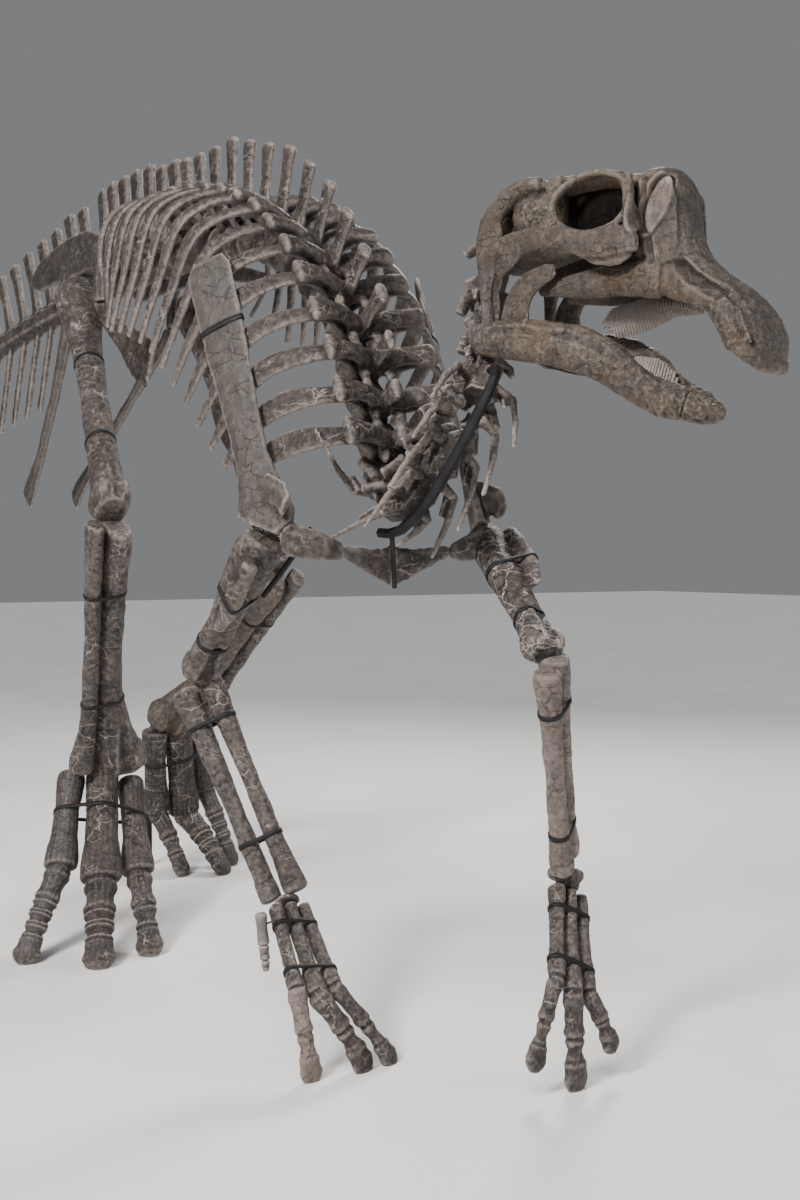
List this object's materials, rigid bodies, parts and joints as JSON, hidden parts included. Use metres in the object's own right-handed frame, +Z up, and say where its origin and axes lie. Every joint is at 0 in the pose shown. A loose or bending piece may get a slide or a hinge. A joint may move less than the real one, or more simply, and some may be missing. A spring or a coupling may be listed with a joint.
{
  "type": "mounted dinosaur skeleton",
  "caption": "Life-size mounted skeleton of a duck-billed dinosaur walking on all fours, head raised and turned a little left, with its black steel supports.",
  "frame": {"origin": "on the floor, below the middle of the whole skeleton's box", "axes": "+X forward along the animal, +Y to its left, +Z up"},
  "size_m": [6.394, 1.6684, 2.5673],
  "materials": {
    "fossil_bone": "matte grey-brown fossil bone with pale cracks",
    "fossil_bone_dark": "matte dark grey-brown fossil bone",
    "fossil_bone_warm": "satin tan-brown fossil bone with ochre patches",
    "fossil_bone_smooth": "smooth taupe-grey fossil bone with fine dark cracks",
    "fossil_bone_pale": "pale worn fossil bone",
    "black_steel": "satin black paint"
  },
  "bodies": {
    "root": {"tail_tip": "fossil_bone_dark", "tail_rear": "fossil_bone_dark", "tail_middle": "fossil_bone_dark", "tail_base": "fossil_bone_dark", "sacrum": "fossil_bone_dark", "rib_cage_right": "fossil_bone", "rib_cage_left": "fossil_bone", "skull": "fossil_bone_warm", "lower_jaw_right": "fossil_bone_warm", "lower_jaw_left": "fossil_bone_warm", "beak_lower": "fossil_bone_warm", "neck_rear": "fossil_bone", "neck_front": "fossil_bone", "stand_neck_rod": "black_steel", "stand_sternum_rod": "black_steel", "stand_foot_post": "black_steel", "ilium_right": "fossil_bone_dark", "pubis_right": "fossil_bone", "ischium_right": "fossil_bone_smooth", "femur_right": "fossil_bone", "tibia_right": "fossil_bone", "fibula_right": "fossil_bone", "toe_inner_right": "fossil_bone", "toe_middle_right": "fossil_bone", "toe_outer_right": "fossil_bone_smooth", "scapula_right": "fossil_bone_smooth", "coracoid_right": "fossil_bone", "sternal_right": "fossil_bone", "humerus_right": "fossil_bone", "radius_right": "fossil_bone", "ulna_right": "fossil_bone", "finger_outer_right": "fossil_bone_pale", "finger_middle_right": "fossil_bone", "finger_inner_right": "fossil_bone", "ilium_left": "fossil_bone_dark", "pubis_left": "fossil_bone", "ischium_left": "fossil_bone_smooth", "femur_left": "fossil_bone", "tibia_left": "fossil_bone_warm", "fibula_left": "fossil_bone", "toe_inner_left": "fossil_bone", "toe_middle_left": "fossil_bone", "toe_outer_left": "fossil_bone_smooth", "scapula_left": "fossil_bone_smooth", "coracoid_left": "fossil_bone", "sternal_left": "fossil_bone", "humerus_left": "fossil_bone_pale", "radius_left": "fossil_bone_pale", "ulna_left": "fossil_bone_pale", "finger_outer_left": "fossil_bone", "finger_middle_left": "fossil_bone", "finger_inner_left": "fossil_bone"}
  },
  "joints": []
}
